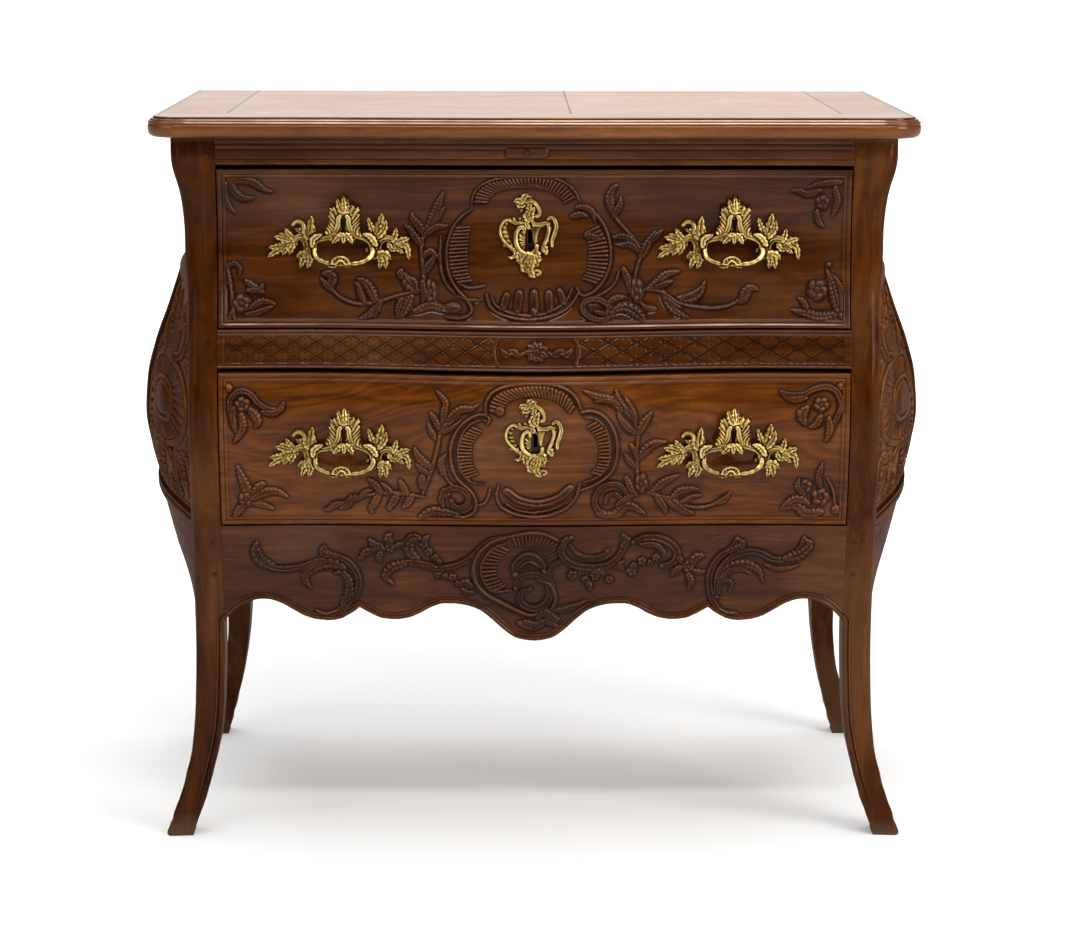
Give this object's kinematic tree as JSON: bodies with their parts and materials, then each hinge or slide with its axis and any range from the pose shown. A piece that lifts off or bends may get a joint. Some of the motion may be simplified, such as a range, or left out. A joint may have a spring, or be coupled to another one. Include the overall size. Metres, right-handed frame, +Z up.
{
  "type": "bombe chest",
  "caption": "Serpentine walnut chest with swelling sides, carved long drawers, scalloped apron, high curved legs and gilt bronze handles and keyhole plates.",
  "frame": {"origin": "on the floor under the middle of the whole chest's width and depth", "axes": "+X to the right seen from the front, +Y to the back, the drawers open towards -Y, +Z up"},
  "size_m": [1.084, 0.616, 0.94],
  "materials": {
    "walnut": "polished dark red-brown walnut, carved",
    "top_wood": "polished walnut top",
    "inner_wood": "planed, unpolished secondary wood",
    "peg_wood": "end grain pegs",
    "gilt_bronze": "cast and gilt bronze, worn in the hollows",
    "lock_iron": "dark wrought iron"
  },
  "bodies": {
    "carcase": {"front_post_left": "walnut", "front_post_right": "walnut", "rear_post_left": "walnut", "rear_post_right": "walnut", "rear_top_rail": "inner_wood", "rear_middle_rail": "inner_wood", "rear_bottom_rail": "inner_wood", "back_board_left": "inner_wood", "back_board_centre": "inner_wood", "back_board_right": "inner_wood", "frieze_rail": "walnut", "middle_rail": "walnut", "front_apron": "walnut", "side_top_rail_right": "walnut", "side_top_rail_left": "walnut", "side_apron_right": "walnut", "side_apron_left": "walnut", "side_panel_right": "walnut", "side_panel_left": "walnut", "upper_runner_right": "inner_wood", "upper_runner_left": "inner_wood", "dust_board": "inner_wood", "lower_runner_right": "inner_wood", "lower_runner_left": "inner_wood", "bottom_board": "inner_wood", "front_bearer": "inner_wood", "drawer_guides": "inner_wood", "drawer_kickers": "inner_wood", "drawer_stops": "inner_wood", "tenon_pegs": "peg_wood", "top_dowels": "peg_wood", "top_front_rail": "top_wood", "top_end_left": "top_wood", "top_panel_left": "top_wood", "top_panel_right": "top_wood", "top_end_right": "top_wood"},
    "upper_drawer": {"upper_drawer_front": "walnut", "upper_drawer_side_right": "inner_wood", "upper_drawer_side_left": "inner_wood", "upper_drawer_back": "inner_wood", "upper_drawer_bottom": "inner_wood", "upper_lock_case": "lock_iron", "upper_lock_screws": "lock_iron", "upper_handle_left": "gilt_bronze", "upper_handle_right": "gilt_bronze", "upper_handle_nuts": "lock_iron", "upper_keyhole_plate": "gilt_bronze"},
    "upper_bolt": {"upper_lock_bolt": "lock_iron"},
    "lower_drawer": {"lower_drawer_front": "walnut", "lower_drawer_side_right": "inner_wood", "lower_drawer_side_left": "inner_wood", "lower_drawer_back": "inner_wood", "lower_drawer_bottom": "inner_wood", "lower_lock_case": "lock_iron", "lower_lock_screws": "lock_iron", "lower_handle_left": "gilt_bronze", "lower_handle_right": "gilt_bronze", "lower_handle_nuts": "lock_iron", "lower_keyhole_plate": "gilt_bronze"},
    "lower_bolt": {"lower_lock_bolt": "lock_iron"}
  },
  "joints": [
    {"name": "upper_drawer_slide", "type": "slide", "parent": "carcase", "child": "upper_drawer", "axis": [0, -1, 0], "range_m": [0, 0.36]},
    {"name": "lower_drawer_slide", "type": "slide", "parent": "carcase", "child": "lower_drawer", "axis": [0, -1, 0], "range_m": [0, 0.36]},
    {"name": "upper_lock_throw", "type": "slide", "parent": "upper_drawer", "child": "upper_bolt", "axis": [0, 0, 1], "range_m": [0, 0.014]},
    {"name": "lower_lock_throw", "type": "slide", "parent": "lower_drawer", "child": "lower_bolt", "axis": [0, 0, 1], "range_m": [0, 0.014]}
  ]
}
